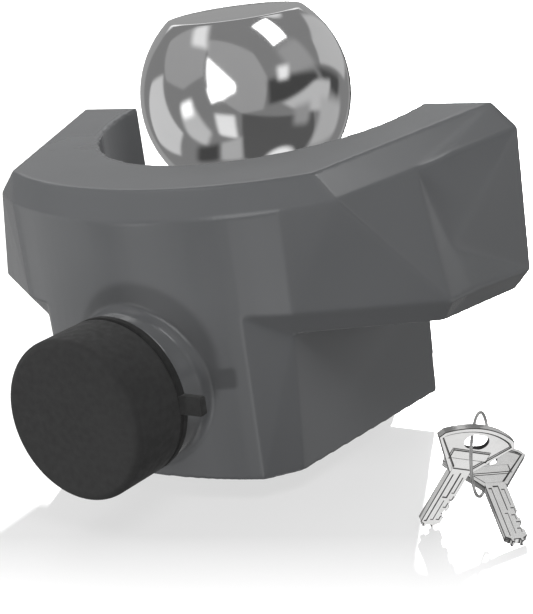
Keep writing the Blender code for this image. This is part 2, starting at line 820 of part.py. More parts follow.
def key_hole_outline():
    flat = KEY_HOLE_HALF_W - KEY_HOLE_R
    height = KEY_LENGTH - KEY_HOLE_DROP
    quarter = math.radians(90)
    right = arc_points(KEY_HOLE_R, flat, height, -quarter, quarter, 10)
    left = arc_points(KEY_HOLE_R, -flat, height, quarter, 3 * quarter, 10)
    return [*right, *left]


def flat_key(name, frame):
    """A flat key with a wide hole for the ring and one groove along its blade. It slides round the ring."""
    bm = prism_mesh(key_outline(), -KEY_T / 2, KEY_T / 2)
    bmesh.ops.transform(bm, matrix=frame, verts=bm.verts)
    key = new_object(name, bm, steel(name + "_nickel"), smooth=False, pivot=RING_CENTRE)
    hole = prism_mesh(key_hole_outline(), -2 * KEY_T, 2 * KEY_T)
    bmesh.ops.transform(hole, matrix=frame, verts=hole.verts)
    boolean(key, cutter(name + "_hole_cut", hole))
    groove = box_mesh(
        (KEY_GROOVE_X[0], KEY_TIP_H + 1.0, KEY_T / 2 - KEY_GROOVE_DEPTH),
        (KEY_GROOVE_X[1], KEY_LENGTH - KEY_HEAD_H, 2 * KEY_T),
    )
    bmesh.ops.transform(groove, matrix=frame, verts=groove.verts)
    boolean(key, cutter(name + "_groove_cut", groove))
    return key


def key_ring():
    normal = RING_NORMAL.normalized()
    side = normal.cross(Vector((0, 0, 1))).normalized()
    frame = Matrix((side, normal.cross(side), normal)).transposed().to_4x4()
    frame.translation = RING_CENTRE
    bm = turned_mesh(circle_profile(RING_R, RING_WIRE_R, 0.0), 48, closed=True)
    bmesh.ops.transform(bm, matrix=frame, verts=bm.verts)
    return new_object("key_ring", bm, steel("ring_steel"), pivot=RING_CENTRE)


def build():
    clear_scene()
    lock_body()
    hitch_ball()
    base_plug()
    base_disc()
    ball_stud()
    plug_o_ring()
    drill_plate()
    lock_shell()
    shell_o_ring()
    shell_set_screw()
    lock_plug()
    for number in range(1, len(WAFER_CODES) + 1):
        wafer(number)
    plug_circlip()
    bolt_cam()
    locking_bolt()
    cam_pin()
    dust_cap()
    flat_key("key_1", key_frame(KEY_1_TIP, KEY_1_UP, KEY_1_ACROSS))
    flat_key("key_2", key_frame(KEY_2_TIP, KEY_2_UP, KEY_2_ACROSS))
    key_ring()


build()
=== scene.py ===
"""Looks for the trailer coupler lock: refined pieces, procedural finishes, floor, studio light and camera."""
import json
import math

import bmesh
import bpy
from mathutils import Matrix, Vector

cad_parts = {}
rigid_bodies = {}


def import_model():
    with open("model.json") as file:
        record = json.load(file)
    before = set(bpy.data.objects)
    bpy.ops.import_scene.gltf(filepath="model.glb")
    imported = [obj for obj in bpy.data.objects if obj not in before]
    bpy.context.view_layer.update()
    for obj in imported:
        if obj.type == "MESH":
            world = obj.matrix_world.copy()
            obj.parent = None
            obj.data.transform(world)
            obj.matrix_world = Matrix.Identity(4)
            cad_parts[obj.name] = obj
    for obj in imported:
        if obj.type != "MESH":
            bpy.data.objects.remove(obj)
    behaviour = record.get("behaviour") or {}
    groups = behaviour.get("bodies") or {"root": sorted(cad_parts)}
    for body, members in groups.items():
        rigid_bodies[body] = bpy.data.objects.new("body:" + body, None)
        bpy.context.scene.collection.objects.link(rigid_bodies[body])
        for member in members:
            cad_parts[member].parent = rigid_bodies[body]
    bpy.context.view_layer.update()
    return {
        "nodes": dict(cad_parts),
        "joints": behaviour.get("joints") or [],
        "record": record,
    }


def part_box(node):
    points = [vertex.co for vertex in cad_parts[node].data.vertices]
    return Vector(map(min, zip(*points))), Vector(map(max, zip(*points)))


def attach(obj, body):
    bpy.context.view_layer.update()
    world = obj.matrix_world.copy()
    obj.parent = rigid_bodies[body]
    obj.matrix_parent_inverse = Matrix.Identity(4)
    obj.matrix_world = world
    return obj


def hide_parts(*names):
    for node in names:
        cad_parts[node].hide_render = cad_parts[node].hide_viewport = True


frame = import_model()
NODES = frame["nodes"]
RECORD = frame["record"]
MM = 0.001

# Camera: where it stands, its turn about the view axis, and its lens.
CAMERA_AZIMUTH = 37.21
CAMERA_ELEVATION = 16.34
CAMERA_ROLL = -8.07
CAMERA_PLACE = (0.2728, -0.3636, 0.1655)
CAMERA_LENS = 96.05

# Studio: the floor's own glow, which fades in towards the front, and the low sun that only the floor gets;
# then the soft light from above and below, the grey that polished metal mirrors, and the white behind it all.
FLOOR_GLOW = 0.64
FLOOR_LIGHT = 21.0
FLOOR_FADE = (0.085, 0.128)
FLOOR_FRONT = (0.323, -0.946, 0.0)
FLOOR_SUN = (206, 21)
FLOOR_SUN_WIDTH = 1.5
SKY_HIGH = 0.07
SKY_LOW = 0.05
STUDIO_LEVEL = 0.285
SEEN_WHITE = 1.25
LIGHT_TARGET = (0, 0, 0.07)
# Soft lights: name, azimuth, elevation, distance, width, power.
LIGHTS = (
    ("key_light", -6, -15, 1.5, 0.12, 6.3),
    ("left_light", -50, 8, 0.7, 0.3, 1.7),
    ("left_top_light", -60, 50, 0.6, 0.3, 0.7),
    ("right_top_light", 60, 50, 0.6, 0.3, 1.8),
    ("right_light", 95, 0, 0.7, 0.3, 0.8),
    ("low_light", 25, -15, 0.7, 0.3, 0.8),
    ("rear_left_light", -120, 45, 0.6, 0.3, 1.9),
    ("rear_light", 150, 5, 0.7, 0.3, 1.55),
    ("rear_low_light", -165, 10, 0.5, 0.25, 2.7),
)
# Panels and screens: corners (azimuth, elevation), softness in degrees, brightness.
STUDIO_PANELS = (
    (((-172, 20), (-108, 20), (-108, -30), (-172, -30)), 6, 0.43),
    (((-172, 32), (-112, 32), (-112, 21.5), (-172, 21.5)), 4, 1.35),
    (((-92, 32), (-83, 58), (-24, 57), (-12, 29), (-35, 14), (-63, 16)), 3, 0.45),
    (((-33, 63), (57, 50), (64, 19), (53, -10), (30, -11), (9, 6), (-11, 42)), 3, 0.455),
    (((30, -11), (113, -19), (130, -45), (17, -61)), 4, 0.13),
    (((90, 44), (128, 42), (128, 14), (92, 16)), 10, 0.42),
    (((63, 19), (124, 11), (125, 0), (80, -5), (59, -8)), 8, 0.08),
    (((178, 29), (-161, 3), (-169, -2), (173, -6), (135, 13), (147, 27)), 4, 0.64),
    (((128, 13), (160, -3), (152, -14), (132, -1)), 8, 0.09),
    (((75, -7), (119, 5), (142, -1), (129, -20), (87, -15)), 6, 0.68),
    (((122, -9), (160, -15), (166, -31), (127, -49)), 10, 0.58),
    (((88, -13), (108, -11), (108, -30), (88, -30)), 10, 0.4),
    (((-89, 7), (-70, 18), (-45, -23), (-74, -36), (-99, -21)), 4, 0.80),
    (((-39, -1), (-24, 6), (-8, -27), (-23, -39), (-39, -25)), 7, 0.72),
    (((-38, 1), (-25, 6), (-23, -8), (-37, -11)), 8, 1.8),
    (((1, -8), (22, -12), (20, -37), (0, -30)), 6, 1.15),
    (((-3, -39), (25, -36), (15, -62), (-22, -56)), 6, 0.57),
    (((-36, -37), (-5, -39), (-23, -56), (-59, -47)), 8, 0.08),
    (((-84, 55), (-79, 68), (-22, 55), (-53, 50)), 8, 1.08),
    (((-14, 47), (27, 21), (26, 12), (-1, 2)), 4, 2.6),
    (((-6, 17), (26, 17), (12, 5), (-2, 6)), 5, 2.6),
    (((104, 76), (150, 65), (122, 47), (92, 49)), 2, 3.4),
    (((79, 29), (94, 27), (87, 15), (75, 16)), 8, 1.2),
)
# Round pools of light: azimuth, elevation, half angle, softness, brightness.
STUDIO_POOLS = (
    (-157, -10, 8, 6, 0.05),
    (89, -65, 12, 8, 1.20),
    (170, 58, 8, 6, 0.95),
)

# Body: cell size of the rounded skin, how far it is smoothed, the boss on the curved wall, and the hollow
# in each arm's side with the sloping edge above it that stays crisp.
SKIN_CELL = 0.5
SKIN_SMOOTH = 8
BOSS_R = 20.3
WALL_R = 95.0
WALL_CENTRE_Y = 31.3
FILLET = 1.7
HOLLOW_AT = (70.5, -16.0, 64.0)
HOLLOW_REACH = 20.0
HOLLOW_SMOOTH = 24
CRISP_EDGE_Z = 78.5
CRISP_EDGE_SLOPE = 0.09
CRISP_EDGE_REACH = 6.0
ARM_SIDE_X = 50.0

# Ball.
BALL_FLAT_R = 18.6
BALL_FLAT_EDGE = 0.7
BALL_EDGE_TURN = 1.6
BALL_FOOT = 25.0

# Plug, disc and the seal between them. Grooves: floor radius, middle height, half height.
NECK_R = 14.0
NECK_FILLET = 3
NECK_SWEEP = [math.radians(angle) for angle in (180, 198, 216, 234, 252, 270)]
PLUG_R = 29.6
PLUG_CHAMFER = 1.0
PLUG_TOP_Z = 47.3
PLUG_BORE_R = 9.3
PLUG_BORE_Z = 24.1
PLUG_SPIGOT_BORE_R = 15.0
PLUG_SPIGOT_Z = 14.5
PLUG_GROOVES = ((26.8, 42.6, 1.5), (23.6, 30.8, 7.6))
DISC_T = 5.7
DISC_BEVEL = 3.5
DISC_SPIGOT_R = 14.7
TURNED_EASE = 0.3
TURNED_STEPS = 192

# Cap.
CAP_R = 21.4
CAP_WALL_R = 19.3
CAP_FACE_T = 2.7
CAP_ROUND = 2.0
CAP_LIP_Y = 3.0
TAB_H = 5.0
TAB_T = 2.4
TAB_REACH = 27.5

# Keys, in millimetres along the key, across it and out of its face.
KEY_LENGTH = 31.3
KEY_HEAD_W = 21.0
KEY_HEAD_H = 14.0
KEY_CORNER_DROP = 4.2
KEY_CROWN_R = 19.0
KEY_BLADE_W = 5.4
KEY_T = 1.8
KEY_HOLE_R = 2.1
KEY_HOLE_HALF_W = 3.2
KEY_HOLE_DROP = 4.3
KEY_NECK = KEY_LENGTH - KEY_HEAD_H
KEY_HALF_T = KEY_T / 2
KEY_WEB = KEY_HALF_T - 0.35
KEY_RIM_W = 1.1
KEY_BAR_X = 5.0
KEY_BAR_Y = KEY_LENGTH - KEY_HOLE_DROP - KEY_HOLE_R - 1.9
KEY_BAR_HALF_H = 1.2
KEY_EDGE = 0.15
CUT_REACH = 3.0
KEY_PLACES = {
    "key_1": ((79.6, -58.6, 0.80), (0.549, 0.072, 0.833), (0.480, 0.788, -0.385)),
    "key_2": ((105.21, -61.38, 0.99), (-0.623, 0.660, 0.420), (0.676, 0.724, -0.137)),
}

# Split ring: turns, the turn at which it crosses from one side to the other, and its flattened wire.
RING_WIRE_R = 0.4
RING_START = 200
RING_TURNS = 1.9
RING_CROSS_AT = 0.86
RING_CROSS_LENGTH = 0.18
RING_OFFSET = 0.20
RING_WIRE = (0.36, 0.19)


# --- Materials --------------------------------------------------------------------------------------------


class Finish:
    """A Principled material with helpers for its colour, roughness and bump variation."""

    def __init__(self, name, colour, roughness, metallic=0.0):
        self.material = bpy.data.materials.new(name)
        self.material.use_nodes = True
        self.tree = self.material.node_tree
        self.shader = self.tree.nodes["Principled BSDF"]
        self.shader.inputs["Base Color"].default_value = (*colour, 1.0)
        self.shader.inputs["Roughness"].default_value = roughness
        self.shader.inputs["Metallic"].default_value = metallic
        self.colour = colour
        self.roughness = roughness
        self.place = self.tree.nodes.new("ShaderNodeTexCoord").outputs["Object"]
        self.colour_out = None
        self.normal_out = None

    def link(self, a, b):
        self.tree.links.new(a, b)

    def noise(self, scale, detail=3.0, stretch=(1.0, 1.0, 1.0)):
        mapping = self.tree.nodes.new("ShaderNodeMapping")
        mapping.inputs["Scale"].default_value = stretch
        node = self.tree.nodes.new("ShaderNodeTexNoise")
        node.inputs["Scale"].default_value = scale
        node.inputs["Detail"].default_value = detail
        self.link(self.place, mapping.inputs["Vector"])
        self.link(mapping.outputs["Vector"], node.inputs["Vector"])
        return node.outputs["Fac"]

    def turning_marks(self, scale, distortion):
        """Fine level bands, which run round a piece turned about an upright axis."""
        node = self.tree.nodes.new("ShaderNodeTexWave")
        node.wave_type = "BANDS"
        node.bands_direction = "Z"
        node.inputs["Scale"].default_value = scale
        node.inputs["Distortion"].default_value = distortion
        node.inputs["Detail"].default_value = 2.0
        self.link(self.place, node.inputs["Vector"])
        return node.outputs["Fac"]

    def spread(self, value, low, high, to_low, to_high):
        node = self.tree.nodes.new("ShaderNodeMapRange")
        node.inputs["From Min"].default_value = low
        node.inputs["From Max"].default_value = high
        node.inputs["To Min"].default_value = to_low
        node.inputs["To Max"].default_value = to_high
        self.link(value, node.inputs["Value"])
        return node.outputs["Result"]

    def mix(self, factor, a, b):
        """Blend two colours; each is a colour or a socket."""
        node = self.tree.nodes.new("ShaderNodeMix")
        node.data_type = "RGBA"
        self.link(factor, node.inputs["Factor"])
        for socket, value in ((node.inputs["A"], a), (node.inputs["B"], b)):
            if isinstance(value, tuple):
                socket.default_value = (*value, 1.0)
            else:
                self.link(value, socket)
        return node.outputs["Result"]

    def vary_colour(self, value, low, high, other):
        factor = self.spread(value, low, high, 0.0, 1.0)
        base = self.colour_out or self.colour
        self.colour_out = self.mix(factor, base, other)
        self.link(self.colour_out, self.shader.inputs["Base Color"])

    def vary_roughness(self, value, low, high, to_low, to_high):
        self.link(self.spread(value, low, high, to_low, to_high), self.shader.inputs["Roughness"])

    def bump(self, value, strength, distance_mm):
        node = self.tree.nodes.new("ShaderNodeBump")
        node.inputs["Strength"].default_value = strength
        node.inputs["Distance"].default_value = distance_mm * MM
        self.link(value, node.inputs["Height"])
        if self.normal_out:
            self.link(self.normal_out, node.inputs["Normal"])
        self.normal_out = node.outputs["Normal"]
        self.link(self.normal_out, self.shader.inputs["Normal"])

    def edge_wear_and_highlight(self, colour, low=0.52, high=0.60):
        """Lighter colour where the surface is sharply convex: edge wear, and a painted highlight along the
        edges.
        """
        pointed = self.tree.nodes.new("ShaderNodeNewGeometry").outputs["Pointiness"]
        self.vary_colour(pointed, low, high, colour)


def powder_coat():
    finish = Finish("powder_coat", (0.116, 0.119, 0.124), 0.22)
    finish.shader.inputs["Specular IOR Level"].default_value = 0.60
    finish.vary_colour(finish.noise(14.0, 4.0), 0.35, 0.70, (0.124, 0.127, 0.132))
    # Lighter rims on the coat: partly edge wear, partly a painted highlight along the body's edges.
    finish.edge_wear_and_highlight((0.17, 0.175, 0.18), 0.53, 0.62)
    finish.vary_roughness(finish.noise(60.0, 5.0), 0.3, 0.7, 0.19, 0.26)
    finish.bump(finish.noise(900.0, 3.0), 0.05, 0.03)
    finish.bump(finish.noise(160.0, 2.0), 0.04, 0.06)
    return finish.material


def polished_steel(name, colour, roughness):
    finish = Finish(name, colour, roughness, 1.0)
    darker = tuple(c * 0.92 for c in colour)
    finish.vary_colour(finish.noise(35.0, 4.0), 0.40, 0.75, darker)
    finish.vary_roughness(finish.noise(220.0, 4.0), 0.3, 0.7, roughness * 0.8, roughness * 1.5)
    finish.bump(finish.turning_marks(900.0, 0.4), 0.035, 0.02)
    return finish.material


def machined(name, colour, roughness):
    finish = Finish(name, colour, roughness, 1.0)
    finish.vary_colour(finish.noise(120.0, 4.0), 0.35, 0.75, tuple(c * 0.75 for c in colour))
    finish.edge_wear_and_highlight(tuple(min(1.0, c * 1.25) for c in colour))
    finish.vary_roughness(finish.noise(300.0, 3.0), 0.3, 0.7, roughness * 0.8, roughness * 1.3)
    finish.bump(finish.noise(1500.0, 2.0, (1.0, 0.1, 1.0)), 0.12, 0.03)
    return finish.material


def black_rubber(name="black_rubber", tone=0.025):
    finish = Finish(name, (tone, tone, tone), 0.62)
    finish.vary_colour(finish.noise(40.0, 4.0), 0.35, 0.75, (tone * 1.2, tone * 1.2, tone * 1.2))
    finish.vary_roughness(finish.noise(500.0, 3.0), 0.3, 0.7, 0.55, 0.72)
    finish.bump(finish.noise(2200.0, 2.0), 0.20, 0.03)
    finish.bump(finish.noise(300.0, 2.0), 0.08, 0.05)
    return finish.material


def key_painted_shade():
    """Very dark nickel down in the milled and stamped recesses of the keys and on their eased edges: painted
    shade.
    """
    finish = Finish("key_painted_shade", (0.060, 0.059, 0.058), 0.38, 1.0)
    finish.vary_colour(finish.noise(400.0, 3.0), 0.35, 0.75, (0.10, 0.098, 0.096))
    finish.vary_roughness(finish.noise(700.0, 3.0), 0.3, 0.7, 0.30, 0.45)
    return finish.material


def key_nickel():
    finish = Finish("key_nickel", (0.80, 0.797, 0.79), 0.16, 1.0)
    finish.vary_colour(finish.noise(180.0, 4.0), 0.40, 0.75, (0.76, 0.757, 0.75))
    finish.vary_roughness(finish.noise(600.0, 3.0), 0.3, 0.7, 0.13, 0.19)
    finish.bump(finish.noise(1800.0, 2.0), 0.03, 0.01)
    return finish.material


def paint(obj, material):
    obj.data.materials.clear()
    obj.data.materials.append(material)


# --- Mesh helpers -----------------------------------------------------------------------------------------


def add_object(name, data):
    obj = bpy.data.objects.new(name, data)
    bpy.context.scene.collection.objects.link(obj)
    return obj


def mesh_from(bm, name):
    mesh = bpy.data.meshes.new(name)
    bm.to_mesh(mesh)
    bm.free()
    return mesh


def piece(name, bm, material, body, stands_for, smooth_angle):
    """A new piece drawn in millimetres in the frame: it rides on its body and stands for its CAD nodes."""
    bmesh.ops.recalc_face_normals(bm, faces=bm.faces)
    bmesh.ops.scale(bm, vec=(MM, MM, MM), verts=bm.verts)
    mesh = mesh_from(bm, name)
    obj = add_object(name, mesh)
    mesh.shade_smooth()
    if smooth_angle:
        mesh.set_sharp_from_angle(angle=math.radians(smooth_angle))
    paint(obj, material)
    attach(obj, body)
    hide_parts(*stands_for)
    return obj


def turned(profile, segments, closed=False):
    """Spin a profile of (radius, height) points about Z."""
    bm = bmesh.new()
    verts = [bm.verts.new((r, 0.0, h)) for r, h in profile]
    edges = [bm.edges.new(pair) for pair in zip(verts, verts[1:])]
    if closed:
        edges.append(bm.edges.new((verts[-1], verts[0])))
    bmesh.ops.spin(
        bm,
        geom=verts + edges,
        cent=(0, 0, 0),
        axis=(0, 0, 1),
        angle=math.tau,
        steps=segments,
        use_merge=True,
    )
    bmesh.ops.remove_doubles(bm, verts=bm.verts, dist=0.0005)
    return bm


def along_lock_axis(bm):
    """Lay a turned mesh down so that its height runs along +Y on the lock's axis."""
    turn = Matrix.Rotation(math.radians(-90), 4, "X")
    bmesh.ops.transform(bm, matrix=Matrix.Translation((0, 0, LOCK_Z)) @ turn, verts=bm.verts)
    return bm


def arc(radius, x, y, start, end, count):
    step = (end - start) / count
    angles = [math.radians(start + step * i) for i in range(count + 1)]
    return [(x + radius * math.cos(a), y + radius * math.sin(a)) for a in angles]


def prism(outline, low, high):
    bm = bmesh.new()
    face = bm.faces.new([bm.verts.new((x, y, low)) for x, y in outline])
    result = bmesh.ops.extrude_face_region(bm, geom=[face])
    top = [item for item in result["geom"] if isinstance(item, bmesh.types.BMVert)]
    bmesh.ops.translate(bm, vec=(0, 0, high - low), verts=top)
    bmesh.ops.recalc_face_normals(bm, faces=bm.faces)
    return bm


def rectangle(x0, x1, y0, y1):
    return [(x0, y0), (x1, y0), (x1, y1), (x0, y1)]


def add_mesh(target, source):
    """Join one bmesh into another."""
    mesh = mesh_from(source, "joined")
    target.from_mesh(mesh)
    bpy.data.meshes.remove(mesh)


def applied(obj):
    """The object's mesh with its modifiers applied, which then are removed."""
    graph = bpy.context.evaluated_depsgraph_get()
    graph.update()
    mesh = bpy.data.meshes.new_from_object(obj.evaluated_get(graph))
    obj.modifiers.clear()
    obj.data = mesh
    return obj


# --- Sizes read from the frame ----------------------------------------------------------------------------


def joint(name):
    return next(j for j in frame["joints"] if j["name"] == name)


def mount(name):
    return next(m for m in RECORD["mounts"] if m["name"] == name)


LOCK_Z = joint("plug_turn")["pos_m"][2] / MM
BALL_Z = mount("coupler_ball")["pos_m"][2] / MM
BALL_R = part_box("hitch_ball")[1].x / MM
CAP_FRONT_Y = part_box("dust_cap")[0].y / MM
CAP_REAR_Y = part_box("dust_cap")[1].y / MM


# --- Body -------------------------------------------------------------------------------------------------


def boss_fillet():
    """A small fillet where the round boss meets the curved front wall."""
    count = 120
    bm = bmesh.new()
    rings = []
    for i in range(count):
        angle = math.tau * i / count
        ring = []
        for r, rise in ((BOSS_R - 1.5, FILLET), (BOSS_R, FILLET), (BOSS_R + FILLET, -0.1), (BOSS_R, -2.0)):
            x = r * math.cos(angle)
            wall = WALL_CENTRE_Y - math.sqrt(WALL_R**2 - x**2)
            ring.append(bm.verts.new((x, wall - rise, LOCK_Z + r * math.sin(angle))))
        rings.append(ring)
    for i in range(count):
        a, b = rings[i], rings[(i + 1) % count]
        for j in range(4):
            k = (j + 1) % 4
            bm.faces.new((a[j], a[k], b[k], b[j]))
    return bm


def body_skin(material):
    """The lock body with its edges rounded as on a coated casting."""
    bm = bmesh.new()
    bm.from_mesh(NODES["lock_body"].data)
    bmesh.ops.scale(bm, vec=(1 / MM, 1 / MM, 1 / MM), verts=bm.verts)
    bmesh.ops.remove_doubles(bm, verts=bm.verts, dist=0.0005)
    add_mesh(bm, boss_fillet())
    skin = piece("body_skin", bm, material, "lock", ["lock_body"], 0.0)
    remesh = skin.modifiers.new("round", "REMESH")
    remesh.mode = "VOXEL"
    remesh.voxel_size = SKIN_CELL * MM
    remesh.use_smooth_shade = True
    smooth = skin.modifiers.new("smooth", "SMOOTH")
    smooth.factor = 0.5
    smooth.iterations = SKIN_SMOOTH
    applied(skin)
    soften_hollow(skin)
    paint(skin, material)
    skin.data.shade_smooth()
    return skin


def soften_hollow(skin):
    """Blend the facets of the hollow in each arm's side into one another."""
    group = skin.vertex_groups.new(name="hollow")
    for vert in skin.data.vertices:
        x, y, z = abs(vert.co.x) / MM, vert.co.y / MM, vert.co.z / MM
        away = (Vector((x, y, z)) - Vector(HOLLOW_AT)).length
        from_edge = abs(z - CRISP_EDGE_Z - CRISP_EDGE_SLOPE * y)
        edge = min(from_edge, CRISP_EDGE_REACH) / CRISP_EDGE_REACH
        weight = max(0.0, 1.0 - (away / HOLLOW_REACH) ** 2) * edge
        if x > ARM_SIDE_X and weight > 0.02:
            group.add([vert.index], weight, "REPLACE")
    soft = skin.modifiers.new("hollow", "SMOOTH")
    soft.factor = 0.9
    soft.iterations = HOLLOW_SMOOTH
    soft.vertex_group = group.name
    applied(skin)
    skin.vertex_groups.clear()


# --- Ball, plug, disc, seal and cap -----------------------------------------------------------------------


def ball_skin(material):
    """Ball with a turned flat on top, whose edge is slightly rounded."""
    top = math.degrees(math.acos(BALL_FLAT_R / BALL_R))
    foot = -math.degrees(math.asin(BALL_FOOT / BALL_R))
    flat_z = BALL_R * math.sin(math.radians(top))
    edge_z = BALL_R * math.sin(math.radians(top - BALL_EDGE_TURN))
    edge_r = BALL_R * math.cos(math.radians(top - BALL_EDGE_TURN))
    profile = [(0, flat_z), (BALL_FLAT_R * 0.5, flat_z), (BALL_FLAT_R - BALL_FLAT_EDGE, flat_z)]
    profile.append(((BALL_FLAT_R + edge_r) / 2 - 0.12, (flat_z + edge_z) / 2 + 0.10))
    profile += arc(BALL_R, 0, 0, top - BALL_EDGE_TURN, foot, 96)
    profile += [(0, -BALL_FOOT)]
    bm = turned([(r, h + BALL_Z) for r, h in profile], TURNED_STEPS)
    return piece("ball_skin", bm, material, "ball_unit", ["hitch_ball"], 40.0)


def eased(points, radius, steps=3):
    """A profile with its corners rounded a little."""
    out = [Vector(points[0])]
    for a, b, c in zip(points, points[1:], points[2:]):
        a, b, c = Vector(a), Vector(b), Vector(c)
        cut = min(radius, (a - b).length / 3, (c - b).length / 3)
        start = b + (a - b).normalized() * cut
        end = b + (c - b).normalized() * cut
        for i in range(steps + 1):
            t = i / steps
            out.append(start * (1 - t) ** 2 + b * 2 * t * (1 - t) + end * t**2)
    out.append(Vector(points[-1]))
    return [(p.x, p.y) for p in out]


def plug_skin(material):
    """Neck and plug below the ball, with the seal's groove and the bolt's groove."""
    low, high = (corner.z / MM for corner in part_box("base_plug"))
    stud_r, spigot_r = PLUG_BORE_R, PLUG_SPIGOT_BORE_R
    profile = [(0, PLUG_BORE_Z), (stud_r, PLUG_BORE_Z), (stud_r, high), (NECK_R, high)]
    foot_r, foot_z = NECK_R + NECK_FILLET, PLUG_TOP_Z + NECK_FILLET
    profile += [(foot_r + NECK_FILLET * math.cos(a), foot_z + NECK_FILLET * math.sin(a)) for a in NECK_SWEEP]
    profile += [(PLUG_R - PLUG_CHAMFER, PLUG_TOP_Z), (PLUG_R, PLUG_TOP_Z - PLUG_CHAMFER)]
    for groove_r, middle, half in PLUG_GROOVES:
        profile += [(PLUG_R, middle + half), (groove_r, middle + half)]
        profile += [(groove_r, middle - half), (PLUG_R, middle - half)]
    profile += [(PLUG_R - 0.25, low + 0.25), (PLUG_R - 0.5, low), (spigot_r, low)]
    profile += [(spigot_r, PLUG_SPIGOT_Z), (0, PLUG_SPIGOT_Z)]
    bm = turned(eased(profile, TURNED_EASE), TURNED_STEPS)
    return piece("plug_skin", bm, material, "ball_unit", ["base_plug"], 40.0)


def disc_skin(material):
    """Bevelled disc under the plug, with its spigot."""
    low, high = (corner.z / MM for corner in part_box("base_disc"))
    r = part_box("base_disc")[1].x / MM
    top = low + DISC_T
    profile = [(0, low), (r - DISC_BEVEL, low), (r, low + DISC_BEVEL), (r, top - 0.4), (r - 0.4, top)]
    profile += [(DISC_SPIGOT_R, top), (DISC_SPIGOT_R, high), (0, high)]
    bm = turned(eased(profile, TURNED_EASE), TURNED_STEPS)
    return piece("disc_skin", bm, material, "ball_unit", ["base_disc"], 40.0)


def seal_skin(material):
    """Round rubber seal in the plug's upper groove."""
    low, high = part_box("plug_o_ring")
    wire = (high.z - low.z) / MM / 2
    centre_r = high.x / MM - wire
    section = arc(wire, centre_r, (high.z + low.z) / MM / 2, 0, 345, 23)
    bm = turned(section, 128, closed=True)
    return piece("seal_skin", bm, material, "ball_unit", ["plug_o_ring"], 60.0)


def cap_skin(material, lip_shade_material):
    """Rubber cap with a soft face edge, a parting line before its lip, and the pull tab; the groove and lip
    are a darker copy of the rubber, as painted shade.
    """
    lip = CAP_REAR_Y - CAP_LIP_Y
    face_edge = [
        (CAP_R - CAP_ROUND + x, CAP_FRONT_Y + CAP_ROUND + y)
        for x, y in arc(CAP_ROUND, 0, 0, -90, 0, 10)
    ]
    profile = [
        (0, CAP_FRONT_Y),
        (CAP_R * 0.5, CAP_FRONT_Y),
        *face_edge,
        (CAP_R, lip - 0.5),
        (CAP_R - 0.1, lip - 0.1),
        (CAP_R - 0.7, lip),
        (CAP_R - 0.7, lip + 0.6),
        (CAP_R - 0.3, lip + 0.7),
        (CAP_R, lip + 1.0),
        (CAP_R, CAP_REAR_Y - 0.5),
        (CAP_R - 0.5, CAP_REAR_Y),
        (CAP_WALL_R, CAP_REAR_Y),
        (CAP_WALL_R, CAP_FRONT_Y + CAP_FACE_T),
        (0, CAP_FRONT_Y + CAP_FACE_T),
    ]
    bm = along_lock_axis(turned(profile, 144))
    half = TAB_H / 2
    outline = [
        (CAP_R - 1.6, -half),
        *arc(0.7, TAB_REACH - 0.7, -half + 0.7, -90, 0, 4),
        *arc(0.7, TAB_REACH - 0.7, half - 0.7, 0, 90, 4),
        (CAP_R - 1.6, half),
    ]
    tab = prism(outline, 0.0, TAB_T)
    turn = Matrix.Translation((0, CAP_REAR_Y - 0.1, LOCK_Z)) @ Matrix.Rotation(math.radians(90), 4, "X")
    bmesh.ops.transform(tab, matrix=turn, verts=tab.verts)
    rim = [e for e in tab.edges if e.calc_face_angle(0.0) > math.radians(60)]
    bmesh.ops.bevel(tab, geom=rim, offset=0.35, segments=3, affect="EDGES", profile=0.5)
    add_mesh(bm, tab)
    cap = piece("cap_skin", bm, material, "cap", ["dust_cap"], 30.0)
    cap.data.materials.append(lip_shade_material)
    # Groove and lip faces take the darker rubber: painted shade.
    for face in cap.data.polygons:
        reach = math.hypot(face.center.x, face.center.z - LOCK_Z * MM)
        if face.center.y / MM > lip - 0.6 and reach < CAP_R * MM:
            face.material_index = 1
    return cap


# --- Keys -------------------------------------------------------------------------------------------------


def key_axes(name):
    tip, up, across = (Vector(v) for v in KEY_PLACES[name])
    up = up.normalized()
    across = (across - up * across.dot(up)).normalized()
    axes = Matrix((across, up, across.cross(up))).transposed().to_4x4()
    axes.translation = tip
    return axes


def head_outline(inset=0.0):
    """Fan-shaped head with rounded corners, from the right shoulder round the crown to the left one."""
    half = KEY_HEAD_W / 2 - inset
    shoulder = KEY_LENGTH - KEY_HEAD_H + inset * 1.3
    corner = KEY_LENGTH - KEY_CORNER_DROP
    radius = KEY_CROWN_R - inset
    sweep = math.degrees(math.asin((half - 0.9) / radius))
    crown = arc(radius, 0, KEY_LENGTH - KEY_CROWN_R, 90 - sweep, 90 + sweep, 16)
    return [
        (KEY_BLADE_W / 2 - inset * 0.4, shoulder),
        (half, corner),
        *crown,
        (-half, corner),
        (-KEY_BLADE_W / 2 + inset * 0.4, shoulder),
    ]


